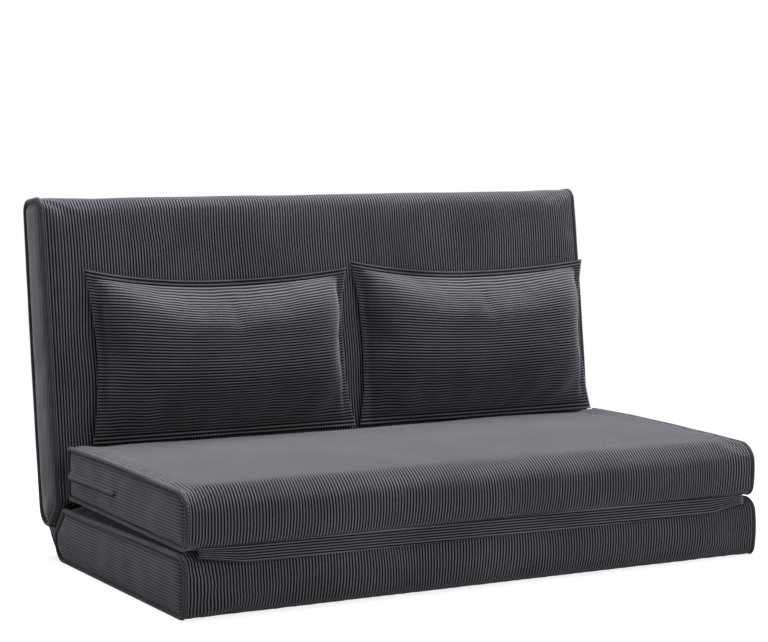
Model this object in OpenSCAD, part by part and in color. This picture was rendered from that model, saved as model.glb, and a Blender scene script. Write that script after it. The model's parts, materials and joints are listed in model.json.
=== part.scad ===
// Floor sofa bed: a fold-out seat lies on a base, a back reclines behind them on two
// ratchet hinges, and two loose pillows lean on the back.
// Origin: centre of the base's underside, on the floor. X across, -Y front, Z up.

/* [Sections] */
// Width of the base over its piping
base_w = 1200; // [900:10:1500]
// Thickness of the base, the seat and the back
section_t = 112; // [108:1:130]
// Depth from the base's front face to the hinge line of the back
base_d = 630; // [570:1:700]
// Free gap between the seat's rear face and the back, at the seat's underside
seat_gap = 15; // [12:1:30]
// Length of the back above its hinge line
back_l = 636; // [540:1:700]
// Lean of the back in its most upright position
back_lean = 7; // [5:0.5:12]
// How much narrower than the base the seat is, on each side
seat_step = 5; // [0:1:15]
// How much wider than the base the back is, on each side
back_step = 8; // [0:1:12]
// Outer radius of the knee, where the cloth wraps from the base to the back
knee_r = 105; // [98:1:108]

/* [Covers] */
// Thickness of the corduroy and its wadding at the seams
cover_t = 3; // [2:0.5:4]
// How far the end seams draw the wrap covers in
edge_draw = 4; // [2:0.5:5]
// Radius of the piping
piping_r = 4; // [3:0.5:4.5]
// Bulge of the front faces of base and seat
front_bulge = 12; // [4:1:14]
// Crown of the seat's top
seat_crown = 6; // [2:1:8]
// Bulge of the back's front and rear faces
back_bulge = 6; // [2:1:8]
// Radius of the base's upper front edge
front_edge_r = 26; // [20:1:32]
// Radius of the seat's upper front edge
seat_front_r = 34; // [24:1:40]
// Radius of the seat's rear edges
seat_rear_r = 15; // [14:1:20]
// Radius of the back's top edges
back_top_r = 27; // [20:1:34]
// Radius of every other long edge
soft_edge_r = 18; // [16:1:20]
// Height of the band that hinges the seat, below the base's top
strip_drop = 12; // [8:1:16]

/* [Pillows] */
// Width of a pillow over its flange
pillow_w = 564; // [400:1:570]
// Height of a pillow over its flange
pillow_h = 330; // [260:1:360]
// Height of a pillow's front above its flange
pillow_front = 70; // [40:1:72]
// Depth of a pillow's flattened back behind its flange
pillow_rear = 10; // [6:1:14]
// Width of the flange
flange_w = 15; // [8:1:20]
// Thickness of a pillow cover's cloth
pillow_cloth = 2.4; // [1.6:0.1:3]
// How far the sides of a pillow draw in between its corners
pillow_draw = 26; // [4:1:30]
// How far the upper edge of a pillow dips between its corners
pillow_dip = 30; // [4:1:34]
// Gap between the two pillows
pillow_gap = 10; // [6:1:40]
// How far the pair of pillows sits to the right of the middle
pillow_shift = 35; // [0:1:36]
// Height of the pillows' lower edge along the back, above the hinge line
pillow_foot = 163; // [158:1:200]

/* [Steel] */
// Radius of the frame tubes
tube_r = 11; // [9:0.5:12]
// Wall of the frame tubes
tube_wall = 1.5; // [1:0.1:2.5]
// Distance of the hinges from the base's side
hinge_in = 75; // [60:1:120]
// Distance of the frame's cross tube from the section's far edge
frame_in = 75; // [60:1:110]
// Bend radius of the frame tubes
bend_r = 60; // [40:1:80]
// Distance of the rear cross bar from the hinge line
bar_reach = 150; // [135:1:200]
// Number of ratchet steps between upright and flat
ratchet_steps = 5; // [4:1:6]
// Radius of the toothed arm over its teeth
ratchet_r = 31; // [30:0.5:32]
// Depth of the ratchet's teeth
tooth_depth = 5; // [4:0.5:6]
// Thickness of the toothed arm and the pawl
arm_t = 6; // [4:0.5:8]
// Thickness of each bracket cheek
cheek_t = 3; // [2:0.5:4]
// Radius of the pivot rivet
pivot_r = 6; // [5:0.5:7]
// Radius of the pawl rivet
pawl_pin_r = 4; // [3:0.5:4.5]

/* [Hidden] */

// Finishes
cover_colour = "#48464a";
piping_colour = "#2f2e31";
foam_colour = "#d9d2b8";
steel_colour = "#4a4d50";
zinc_colour = "#a9adb0";
cloth_colour = "#252427";
filling_colour = "#eeeeea";

// Fits
fit = 0.3;
running_fit = 0.05;
overrun = 1;
mitre_gap = 4;

// Steps of the curves, and places of a wrap's rings across its width
arc_steps = 4;
edge_steps = 3;
piping_sides = 6;
ring_shares = [-1, -0.985, -0.95, -0.88, -0.7, 0, 0.7, 0.88, 0.95, 0.985, 1];
draw_power = 8;
end_swell_share = 0.55;
panel_mid_share = 0.93;
panel_top_share = 0.8;
panel_rise_share = 0.65;

// Sections: hinge lines, depths and the knee
hinge_z = section_t + fit;
half_t = section_t / 2;
front_y = -base_d / 2;
fold_y = front_y - fit;
pivot_y = base_d / 2;
pivot_z = half_t;
crease_turn = (90 + back_lean) / 2;
crease_run = half_t / tan(crease_turn);
seat_d = base_d - crease_run - seat_gap;
seat_w = base_w - 2 * seat_step;
back_w = base_w + 2 * back_step;
half_back = half_t - back_bulge;
back_crease = half_back / tan(crease_turn);
knee_s = (knee_r - half_t - (knee_r - half_back) * sin(back_lean)) / cos(back_lean);
knee_y = pivot_y + knee_s * sin(back_lean) - (knee_r - half_back) * cos(back_lean);
seat_low = hinge_z + fit;
seat_high = 2 * hinge_z - seat_crown - fit;

// Insets from a section's outline: piping line, side panel edge, inner face of the wrap, foam
piping_inset = edge_draw + piping_r;
panel_inset = edge_draw + 2 * piping_r + fit;
lining_inset = edge_draw + cover_t;
foam_inset = lining_inset + fit;

// Ratchet hinge, seen from the right: angles from the front, round the pivot
pawl_angle = 200;
pawl_l = 40;
pawl_pin_height = 29;
pawl_boss_r = 8;
pawl_bar_air = 2;
pawl_bar_w = 9;
pawl_toe = 6;
pawl_shoulder = 10;
nose_tip_w = 3.6;
nose_root_w = 5;
notch_air = 0.6;
hub_r = 24;
neck_w = 24;
cheek_r = 20;
cheek_boss_r = 9;
sleeve_from = 62;
sleeve_wall = 2;
plug_l = 12;
sleeve_depth = 40;
rivet_head_t = 3;
rivet_head_extra = 3.5;
arm_air = 5;
slot_r = 46;
slot_front = 76;
slot_drop = 36;
slot_rise = 42;
slot_air = 4;
leaf_t = 0.8;
leaf_w = 5;
leaf_foot_top = 9;
leaf_foot_low = 3;
hinge_x = base_w / 2 - hinge_in;
sleeve_r = tube_r + running_fit + sleeve_wall;
tube_from = sleeve_from + plug_l + fit;
cheek_in = arm_t / 2 + fit;
cheek_out = cheek_in + cheek_t;
slot_w = 2 * (cheek_out + rivet_head_t + slot_air);
ratchet_step = (90 - back_lean) / ratchet_steps;
pawl_lift = asin((tooth_depth + 2 * notch_air) / pawl_l);
along_pawl = [sin(pawl_angle), -cos(pawl_angle)];
out_pawl = [cos(pawl_angle), sin(pawl_angle)];
pawl_pin = pawl_l * along_pawl + pawl_pin_height * out_pawl;

// Pillows
pillow_plane = half_t + fit + pillow_rear + pillow_cloth;
pillow_columns = 10;
pillow_rows = 7;
side_power = 5;
rise_power = 2;
crown_power = 4;

// Zip and its slider
zip_w = 7;
zip_t = 1.2;
zip_side_l = 245;
zip_share = 0.7;
slider_w = 9;
slider_h = 11;
slider_t = 2.6;
tab_w = 4;
tab_l = 24;
tab_t = 1.2;

// Geometry of sewn outlines: corners are [y, z, radius, bulge of the edge that follows]

function unit(v) = v / norm(v);
function spot(corner) = [corner[0], corner[1]];
function inward(a, b) = let (e = unit(b - a)) [-e[1], e[0]];
function turn_right(v) = [v[1], -v[0]];

// Arc that rounds corner b between its neighbours a and c
function arc_points(a, b, c, inset) =
    let (
        n1 = inward(spot(a), spot(b)),
        n2 = inward(spot(b), spot(c)),
        centre = spot(b) + (n1 + n2) * b[2] / (1 + n1 * n2),
        start = atan2(-n1[1], -n1[0]),
        turn = acos(n1 * n2),
        r = b[2] - inset
    )
    [for (k = [0:arc_steps]) let (a = start + turn * k / arc_steps) centre + r * [cos(a), sin(a)]];

// Points of an edge that bulges outwards between two arcs
function edge_points(from, to, bulge) =
    [for (k = [1:edge_steps])
        let (t = k / (edge_steps + 1))
        from + (to - from) * t - inward(from, to) * bulge * (1 - pow(2 * t - 1, 2))];

// Closed outline of a section, inset by a seam and swollen by a share of its bulges
function outline(corners, inset, swell) =
    let (
        n = len(corners),
        arcs = [for (i = [0:n - 1]) arc_points(corners[(i + n - 1) % n], corners[i], corners[(i + 1) % n], inset)]
    )
    [for (i = [0:n - 1])
        each concat(
            arcs[i],
            corners[i][3] == 0 ? [] : edge_points(arcs[i][arc_steps], arcs[(i + 1) % n][0], corners[i][3] * swell)
        )];

// Base outline, whose hinge end stands back from the hinge line by a gap
function base_corners(gap) = [
    [pivot_y - crease_run - gap, section_t, soft_edge_r, 0],
    [front_y + front_bulge, section_t, front_edge_r, front_bulge],
    [front_y + front_bulge, -edge_draw, soft_edge_r, 0],
    [pivot_y - gap, -edge_draw, pivot_y - gap - knee_y, 0],
    [pivot_y - gap, pivot_z, soft_edge_r, 0]
];

// Back outline, in the back's own upright frame with the hinge line at its origin
function back_corners(gap) = [
    [half_back, gap, knee_s - gap, back_bulge],
    [half_back, back_l, back_top_r, 0],
    [-half_back, back_l, back_top_r, back_bulge],
    [-half_back, back_crease + gap, soft_edge_r, 0],
    [0, gap, soft_edge_r, 0]
];

seat_corners = [
    [front_y + front_bulge, seat_low, soft_edge_r, 0],
    [front_y + seat_d, seat_low, seat_rear_r, 0],
    [front_y + seat_d, seat_high, seat_rear_r, seat_crown],
    [front_y + front_bulge, seat_high, seat_front_r, front_bulge]
];

// Inner face of the side panels and end of the wrap and foam, from the middle
function end_x(width) = width / 2 - 2 * piping_r - fit;

// Frames that pieces are drawn in

module along_x(from, to)
    translate([from, 0, 0])
        rotate([90, 0, 90])
            linear_extrude(height = to - from)
                children();

module at_pivot() translate([0, pivot_y, pivot_z]) children();

module at_base() at_pivot() rotate([90, 0, 0]) children();

module at_back() at_pivot() rotate([-back_lean, 0, 0]) children();

// Sewn pieces

function two(a, b, c, d) = [[a, b, c], [a, c, d]];

// Rings of a wrap cover's outer face from end to end
function wrap_rings(corners, half_w, first, count) =
    [for (share = ring_shares)
        let (
            pull = pow(abs(share), draw_power),
            ring = outline(corners, edge_draw * pull, 1 - pull * (1 - end_swell_share))
        )
        [for (i = [first:first + count - 1]) [share * half_w, ring[i][0], max(ring[i][1], 0)]]];

// A wrap cover: one cloth panel with its wadding, crowned in the middle and drawn in at both ends
module wrap_cover(corners, width, first, count, closed) {
    half_w = end_x(width);
    lining = outline(corners, lining_inset, 0);
    outer = wrap_rings(corners, half_w, first, count);
    inner = [for (side = [-1, 1]) [for (i = [first:first + count - 1]) [side * half_w, lining[i][0], lining[i][1]]]];
    rings = len(outer);
    last = rings - 1;
    middle = last / 2;
    base = rings * count;
    steps = closed ? count - 1 : count - 2;
    faces = [
        for (j = [0:last - 1], i = [0:steps])
            let (k = (i + 1) % count)
            each two(j * count + i, (j + 1) * count + i, (j + 1) * count + k, j * count + k),
        for (i = [0:steps])
            let (k = (i + 1) % count)
            each two(base + i, base + k, base + count + k, base + count + i),
        for (i = [0:steps])
            let (k = (i + 1) % count)
            each two(i, k, base + k, base + i),
        for (i = [0:steps])
            let (k = (i + 1) % count, top = last * count)
            each two(top + i, base + count + i, base + count + k, top + k)
    ];
    hems = closed ? [] : [
        for (j = [0:last - 1]) [(j + 1) * count, j * count, base + (j < middle ? 0 : count)],
        [base, base + count, middle * count],
        for (j = [0:last - 1]) let (e = count - 1)
            [j * count + e, (j + 1) * count + e, base + e + (j < middle ? 0 : count)],
        [middle * count + count - 1, base + 2 * count - 1, base + count - 1]
    ];
    polyhedron(points = concat([for (ring = outer) each ring], [for (ring = inner) each ring]),
        faces = concat(faces, hems));
}

function toward_middle(points, share) =
    let (middle = [for (axis = [0, 1]) (max([for (p = points) p[axis]]) + min([for (p = points) p[axis]])) / 2])
    [for (p = points) middle + (p - middle) * share];

// A side panel: flat where it is sewn, domed in its middle; side is -1 on the left and 1 on the right
module side_panel(corners, width, side) {
    ring = outline(corners, panel_inset, end_swell_share);
    rise = 2 * piping_r - cover_t;
    inner = end_x(width);
    mirror([side < 0 ? 1 : 0, 0, 0])
        hull() {
            along_x(inner, inner + cover_t) polygon(ring);
            along_x(inner, inner + cover_t + rise * panel_rise_share) polygon(toward_middle(ring, panel_mid_share));
            along_x(inner, inner + cover_t + rise) polygon(toward_middle(ring, panel_top_share));
        }
}

// A loop of piping round a side panel
module piping(corners, width, side) {
    path = outline(corners, piping_inset, end_swell_share);
    n = len(path);
    points = [
        for (i = [0:n - 1])
            let (out = turn_right(unit(path[(i + 1) % n] - path[(i + n - 1) % n])))
            for (k = [0:piping_sides - 1])
                let (a = 360 * k / piping_sides, p = path[i] + out * piping_r * cos(a))
                [width / 2 - piping_r + piping_r * sin(a), p[0], p[1]]
    ];
    faces = [
        for (i = [0:n - 1], k = [0:piping_sides - 1])
            let (j = (i + 1) % n, l = (k + 1) % piping_sides)
            each two(i * piping_sides + k, i * piping_sides + l, j * piping_sides + l, j * piping_sides + k)
    ];
    mirror([side < 0 ? 1 : 0, 0, 0])
        polyhedron(points = points, faces = faces);
}

// Foam with its long edges rounded, from one side panel to the other
module foam_block(width)
    along_x(-end_x(width), end_x(width))
        children();

module foam_outline(corners)
    polygon(outline(corners, foam_inset, 0));

// The half of the plane above or below its first axis, to split foam at its frame
module half_plane(sign) {
    size = 2 * (base_d + back_l);
    translate([-size / 2, sign < 0 ? -size : 0])
        square(size);
}

// Steel: each tube frame is a U, drawn with z as the distance from the hinge line

module u_tubes(reach, r, extra) {
    leg_to = reach - frame_in - bend_r;
    for (side = [-1, 1])
        translate([side * hinge_x, 0, tube_from - extra])
            cylinder(r = r, h = leg_to - tube_from + extra, $fn = 48);
    for (turned = [0, 1])
        mirror([turned, 0, 0])
            translate([hinge_x - bend_r, 0, leg_to])
                rotate([90, 0, 0])
                    rotate_extrude(angle = 90, $fn = 64)
                        translate([bend_r, 0])
                            circle(r = r, $fn = 48);
    for (height = [leg_to + bend_r, bar_reach, (leg_to + bend_r + bar_reach) / 2]) {
        half = height > leg_to ? hinge_x - bend_r : hinge_x;
        translate([-half, 0, height])
            rotate([0, 90, 0])
                cylinder(r = r, h = 2 * half, $fn = 48);
    }
}

module tube_frame(reach)
    difference() {
        u_tubes(reach, tube_r, 0);
        u_tubes(reach, tube_r - tube_wall, overrun);
    }

// Room in the foam for a frame with its sleeves and the neck of an arm
module frame_room(reach) {
    u_tubes(reach, tube_r + fit, overrun);
    for (side = [-1, 1])
        translate([side * hinge_x, 0, sleeve_from - overrun])
            cylinder(r = sleeve_r + fit, h = plug_l + sleeve_depth + 2 * overrun, $fn = 48);
}

// Room in the foam round both hinges: a disc round the pivot, joined by a flat shape
module hinge_room(r)
    for (side = [-1, 1])
        translate([side * hinge_x, 0, 0])
            along_x(-slot_w / 2, slot_w / 2)
                union() {
                    circle(r = r, $fn = 64);
                    children();
                }

module sleeve()
    translate([0, 0, sleeve_from])
        difference() {
            cylinder(r = sleeve_r, h = plug_l + sleeve_depth, $fn = 48);
            translate([0, 0, plug_l])
                cylinder(r = tube_r + running_fit, h = sleeve_depth + overrun, $fn = 48);
        }

// Pawl nose, and the notch it seats in when air is added, standing on the arm's root circle
function nose(from, to, air) = [
    [-nose_tip_w / 2 - air, from],
    [nose_tip_w / 2 + air, from],
    [nose_root_w / 2 + air, to],
    [-nose_root_w / 2 - air, to]
];

// A point of the lifted pawl, from its place along and out from the engaged nose
function lifted(along, out) =
    let (
        d = [along - pawl_l, out - pawl_pin_height],
        c = cos(pawl_lift),
        s = sin(pawl_lift),
        p = [pawl_l + d[0] * c + d[1] * s, pawl_pin_height - d[0] * s + d[1] * c]
    )
    p[0] * along_pawl + p[1] * out_pawl;

module toothed_arm(side) {
    first = pawl_angle + back_lean;
    sweep = ratchet_step * ratchet_steps;
    root = ratchet_r - tooth_depth;
    wedge = [for (a = [first - ratchet_step / 2, first + sweep / 2, first + sweep + ratchet_step / 2])
        2 * ratchet_r * [cos(a), sin(a)]];
    color(steel_colour)
        at_back()
            translate([side * hinge_x, 0, 0]) {
                sleeve();
                along_x(-arm_t / 2, arm_t / 2)
                    difference() {
                        union() {
                            circle(r = hub_r, $fn = 64);
                            intersection() {
                                circle(r = ratchet_r, $fn = 96);
                                polygon(concat([[0, 0]], wedge));
                            }
                            translate([-neck_w / 2, 0])
                                square([neck_w, sleeve_from + plug_l / 2]);
                        }
                        circle(r = pivot_r + running_fit, $fn = 48);
                        for (k = [0:ratchet_steps])
                            rotate(first + k * ratchet_step - 90)
                                polygon(nose(root, ratchet_r + pawl_bar_air, notch_air));
                    }
            }
}

module ratchet_bracket(side) {
    color(steel_colour) at_base() translate([side * hinge_x, 0, 0]) sleeve();
    color(steel_colour)
        at_pivot()
            translate([side * hinge_x, 0, 0])
                for (face = [-cheek_out, cheek_in])
                    along_x(face, face + cheek_t)
                        difference() {
                            hull() {
                                circle(r = cheek_r, $fn = 32);
                                translate(pawl_pin) circle(r = cheek_boss_r, $fn = 32);
                                translate([-sleeve_from - plug_l / 2, -neck_w / 2])
                                    square([plug_l / 2, neck_w]);
                            }
                            circle(r = pivot_r + running_fit, $fn = 48);
                            translate(pawl_pin) circle(r = pawl_pin_r + running_fit, $fn = 48);
                        }
}

// A rivet through both cheeks, with a flat head outside each
module rivet(r) {
    along_x(-cheek_out, cheek_out) circle(r = r, $fn = 48);
    for (face = [-cheek_out - rivet_head_t, cheek_out])
        along_x(face, face + rivet_head_t) circle(r = r + rivet_head_extra, $fn = 48);
}

module rivets(place, r)
    color(zinc_colour)
        at_pivot()
            for (side = [-1, 1])
                translate([side * hinge_x, place[0], place[1]])
                    rivet(r);

module pawl(side) {
    low = ratchet_r - tooth_depth + notch_air;
    bar = ratchet_r + pawl_bar_air;
    color(zinc_colour)
        at_pivot()
            translate([side * hinge_x, 0, 0])
                along_x(-arm_t / 2, arm_t / 2)
                    translate(pawl_pin)
                        rotate(-pawl_lift)
                            translate(-pawl_pin)
                                rotate(pawl_angle - 90)
                                    difference() {
                                        union() {
                                            translate([pawl_l, pawl_pin_height]) circle(r = pawl_boss_r, $fn = 48);
                                            polygon(nose(low, bar + pawl_bar_air, 0));
                                            polygon([
                                                [-pawl_toe, bar],
                                                [pawl_shoulder, bar],
                                                [pawl_l, pawl_pin_height - pawl_boss_r],
                                                [pawl_l, pawl_pin_height + pawl_boss_r],
                                                [-pawl_toe, bar + pawl_bar_w]
                                            ]);
                                        }
                                        translate([pawl_l, pawl_pin_height])
                                            circle(r = pawl_pin_r + running_fit, $fn = 48);
                                    }
}

// A leaf spring from the sleeve's end to the outer side of the pawl
module pawl_spring(side) {
    back = ratchet_r + pawl_bar_air + pawl_bar_w + fit;
    color(steel_colour)
        at_pivot()
            translate([side * hinge_x, 0, 0])
                along_x(-leaf_w / 2, leaf_w / 2)
                    polygon([
                        [-sleeve_from, leaf_foot_top],
                        [-sleeve_from, -leaf_foot_low - leaf_t],
                        lifted(0, back + leaf_t),
                        lifted(-pawl_toe, back + leaf_t),
                        lifted(-pawl_toe, back),
                        lifted(leaf_t, back),
                        [-sleeve_from + leaf_t, -leaf_foot_low],
                        [-sleeve_from + leaf_t, leaf_foot_top]
                    ]);
}

module base_frame()
    color(steel_colour) at_base() tube_frame(base_d);

module back_frame()
    color(steel_colour) at_back() tube_frame(back_l);

// Base

base_path = 3 * (arc_steps + 1) + edge_steps;

module base_cover()
    color(cover_colour) wrap_cover(base_corners(mitre_gap), base_w, 0, base_path, false);

module base_side(side)
    color(cover_colour) side_panel(base_corners(mitre_gap), base_w, side);

module base_piping(side)
    color(piping_colour) piping(base_corners(mitre_gap), base_w, side);

module underside_panel() {
    from = front_y + front_bulge + soft_edge_r + fit;
    color(cloth_colour)
        translate([-end_x(base_w), from, 0])
            cube([2 * end_x(base_w), knee_y - fit - from, cover_t]);
}

module base_foam(layer)
    color(foam_colour)
        difference() {
            foam_block(base_w)
                intersection() {
                    foam_outline(base_corners(mitre_gap));
                    translate([0, pivot_z]) half_plane(layer);
                }
            at_base() frame_room(base_d);
            at_pivot()
                hinge_room(slot_r)
                    translate([-slot_front, -slot_drop])
                        square([slot_front, slot_drop + slot_rise]);
        }

// The cloth that wraps the knee from the underside to the rear of the back, with a gore at each side
module knee_gusset() {
    half_w = end_x(base_w);
    slack = asin(fit / knee_r);
    apex_gap = mitre_gap - fit;
    apex = [pivot_y - apex_gap, pivot_z + apex_gap * (1 + sin(back_lean)) / cos(back_lean)];
    tail = [cos(back_lean), -sin(back_lean)];
    wedge = [for (a = [270, 270 + (90 - back_lean) / 2, 360 - back_lean - slack]) 2 * knee_r * [cos(a), sin(a)]];
    color(cover_colour) {
        along_x(-half_w, half_w)
            translate([knee_y, knee_r])
                intersection() {
                    difference() {
                        circle(r = knee_r, $fn = 96);
                        circle(r = knee_r - cover_t, $fn = 96);
                    }
                    polygon(concat([[0, 0]], wedge));
                }
        for (from = [-half_w - cover_t, half_w])
            along_x(from, from + cover_t)
                intersection() {
                    translate([knee_y, knee_r]) circle(r = knee_r - cover_t / 2, $fn = 96);
                    polygon([
                        apex,
                        [apex[0], apex[1] - knee_r],
                        [apex[0] + knee_r, apex[1] - knee_r],
                        apex + knee_r * tail
                    ]);
                }
    }
}

// The padded fold of cloth in the mitre between base and back, above the hinges
module crease_gusset() {
    reach = half_t / sin(crease_turn);
    half_gap = mitre_gap * sin(crease_turn);
    color(cloth_colour)
        at_pivot()
            along_x(-end_x(base_w), end_x(base_w))
                rotate(180 - crease_turn)
                    translate([slot_r + mitre_gap, -half_gap])
                        square([reach - slot_r - mitre_gap - soft_edge_r / 2, 2 * half_gap]);
}

// The band that hinges the seat, in the groove between the rounded edges of base and seat
module front_hinge_strip() {
    groove = front_edge_r - sqrt(pow(front_edge_r, 2) - pow(front_edge_r - strip_drop, 2));
    rise = soft_edge_r - sqrt(pow(soft_edge_r, 2) - pow(soft_edge_r - groove, 2));
    half_w = end_x(seat_w) - soft_edge_r;
    color(cover_colour)
        translate([-half_w, front_y + front_bulge + groove - cover_t, section_t - strip_drop])
            cube([2 * half_w, cover_t - fit, strip_drop + seat_low - section_t + rise]);
}

// Seat

seat_path = len(seat_corners) * (arc_steps + 1) + 2 * edge_steps;
zip_z = (seat_low + seat_high) / 2;
zip_y = front_y + seat_d;
zip_from = piping_r - end_x(seat_w);

module seat_cover()
    color(cover_colour) wrap_cover(seat_corners, seat_w, 0, seat_path, true);

module seat_side(side)
    color(cover_colour) side_panel(seat_corners, seat_w, side);

module seat_piping(side)
    color(piping_colour) piping(seat_corners, seat_w, side);

module seat_foam()
    color(foam_colour) foam_block(seat_w) foam_outline(seat_corners);

// The closed zip of the seat cover: along the rear face and round on the left side panel
module seat_zip() {
    depth = seat_d - front_bulge;
    side_to = zip_y - depth * (1 - panel_top_share) / 2;
    color(cloth_colour) {
        translate([zip_from, zip_y, zip_z - zip_w / 2])
            cube([zip_share * end_x(seat_w) - zip_from, zip_t, zip_w]);
        translate([-seat_w / 2 + fit - zip_t, zip_y - zip_side_l, zip_z - zip_w / 2])
            cube([zip_t, side_to - zip_y + zip_side_l, zip_w]);
    }
}

module zip_slider()
    color(zinc_colour)
        translate([zip_from + slider_w, zip_y + zip_t + fit, zip_z]) {
            translate([-slider_w / 2, 0, -slider_h / 2])
                cube([slider_w, slider_t, slider_h]);
            translate([-tab_w / 2, slider_t, slider_h / 2 - tab_l])
                cube([tab_w, tab_t, tab_l - tab_w]);
        }

// Back

back_path = 3 * (arc_steps + 1) + 2 * edge_steps + 1;

module back_cover()
    color(cover_colour) at_back() wrap_cover(back_corners(mitre_gap), back_w, arc_steps, back_path, false);

module back_side(side)
    color(cover_colour) at_back() side_panel(back_corners(mitre_gap), back_w, side);

module back_piping(side)
    color(piping_colour) at_back() piping(back_corners(mitre_gap), back_w, side);

module back_foam(layer)
    color(foam_colour)
        at_back()
            difference() {
                foam_block(back_w)
                    intersection() {
                        foam_outline(back_corners(mitre_gap));
                        rotate(90) half_plane(layer);
                    }
                frame_room(back_l);
                hinge_room(ratchet_r + arm_air)
                    translate([-neck_w / 2 - fit, 0])
                        square([neck_w + 2 * fit, sleeve_from + overrun / 2]);
            }

// Pillows: a grid of stations over the flange and the filled middle

function eased(t) = (1 - cos(180 * t)) / 2;

function stations(count, edge) =
    concat([0], [for (k = [0:count]) edge + (1 - 2 * edge) * eased(k / count)], [1]);

// How full a pillow is across one way, steeper at one end than at the other
function swell(t, edge, first_power, last_power) =
    let (s = (t - edge) / (1 - 2 * edge), power = 2 * s < 1 ? first_power : last_power)
    s <= 0 || s >= 1 ? 0 : 1 - pow(abs(2 * s - 1), power);

// Place of a pillow point: u across, v up, and its distance in front of the back's hinge plane
function pillow_point(u, v, out) = [
    (u - 1 / 2) * (pillow_w - 2 * pillow_draw * (1 - pow(2 * v - 1, 2))),
    -out,
    pillow_foot + v * (pillow_h - pillow_dip * (1 - pow(2 * u - 1, 2)))
];

// A sheet of stations us by vs between two distances, each plane plus a share of the pillow's swell
module pillow_sheet(us, vs, front_at, front_share, rear_at, rear_share) {
    n = len(us);
    m = len(vs);
    function puff(u, v) =
        swell(u, flange_w / pillow_w, side_power, side_power)
            * swell(v, flange_w / pillow_h, rise_power, crown_power);
    points = [
        for (v = vs, u = us) pillow_point(u, v, front_at + front_share * puff(u, v)),
        for (v = vs, u = us) pillow_point(u, v, rear_at + rear_share * puff(u, v))
    ];
    far = n * m;
    faces = [
        for (j = [0:m - 2], i = [0:n - 2])
            let (a = j * n + i)
            each concat(
                two(a, a + n, a + n + 1, a + 1),
                two(far + a, far + a + 1, far + a + n + 1, far + a + n)
            ),
        for (i = [0:n - 2]) each two(i, i + 1, far + i + 1, far + i),
        for (i = [0:n - 2])
            let (a = (m - 1) * n + i)
            each two(a, far + a, far + a + 1, a + 1),
        for (j = [0:m - 2]) each two(j * n, far + j * n, far + (j + 1) * n, (j + 1) * n),
        for (j = [0:m - 2])
            let (a = j * n + n - 1)
            each two(a, a + n, far + a + n, far + a)
    ];
    polyhedron(points = points, faces = faces);
}

module at_pillow(side)
    at_back()
        translate([pillow_shift + side * (pillow_w + pillow_gap) / 2, 0, 0])
            children();

across = stations(pillow_columns, flange_w / pillow_w);
upward = stations(pillow_rows, flange_w / pillow_h);

module pillow_front_cover(side)
    color(cover_colour)
        at_pillow(side)
            pillow_sheet(across, upward, pillow_plane + pillow_cloth, pillow_front, pillow_plane, pillow_front);

module pillow_back_cover(side)
    color(cover_colour)
        at_pillow(side)
            pillow_sheet(across, upward, pillow_plane, -pillow_rear, pillow_plane - pillow_cloth, -pillow_rear);

module pillow_filling(side) {
    inside_u = [for (k = [2:pillow_columns]) across[k]];
    inside_v = [for (k = [2:pillow_rows]) upward[k]];
    color(filling_colour)
        at_pillow(side)
            pillow_sheet(inside_u, inside_v, pillow_plane - fit, pillow_front, pillow_plane + fit, -pillow_rear);
}

base_cover();
base_side(-1);  // base_side_left
base_side(1);  // base_side_right
base_piping(-1);  // base_piping_left
base_piping(1);  // base_piping_right
underside_panel();
base_foam(1);  // base_foam_upper
base_foam(-1);  // base_foam_lower
base_frame();
ratchet_bracket(-1);  // ratchet_bracket_left
ratchet_bracket(1);  // ratchet_bracket_right
rivets([0, 0], pivot_r);  // pivot_rivets
rivets(pawl_pin, pawl_pin_r);  // pawl_rivets
pawl(-1);  // pawl_left
pawl(1);  // pawl_right
pawl_spring(-1);  // pawl_spring_left
pawl_spring(1);  // pawl_spring_right
knee_gusset();
crease_gusset();
front_hinge_strip();
seat_cover();
seat_side(-1);  // seat_side_left
seat_side(1);  // seat_side_right
seat_piping(-1);  // seat_piping_left
seat_piping(1);  // seat_piping_right
seat_foam();
seat_zip();
zip_slider();
back_cover();
back_side(-1);  // back_side_left
back_side(1);  // back_side_right
back_piping(-1);  // back_piping_left
back_piping(1);  // back_piping_right
back_foam(1);  // back_foam_front
back_foam(-1);  // back_foam_rear
back_frame();
toothed_arm(-1);  // toothed_arm_left
toothed_arm(1);  // toothed_arm_right
pillow_front_cover(-1);  // pillow_left_front
pillow_back_cover(-1);  // pillow_left_back
pillow_filling(-1);  // pillow_left_filling
pillow_front_cover(1);  // pillow_right_front
pillow_back_cover(1);  // pillow_right_back
pillow_filling(1);  // pillow_right_filling
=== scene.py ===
import json
import math

import bmesh
import bpy
import numpy as np
from mathutils import Matrix, Vector, noise


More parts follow.
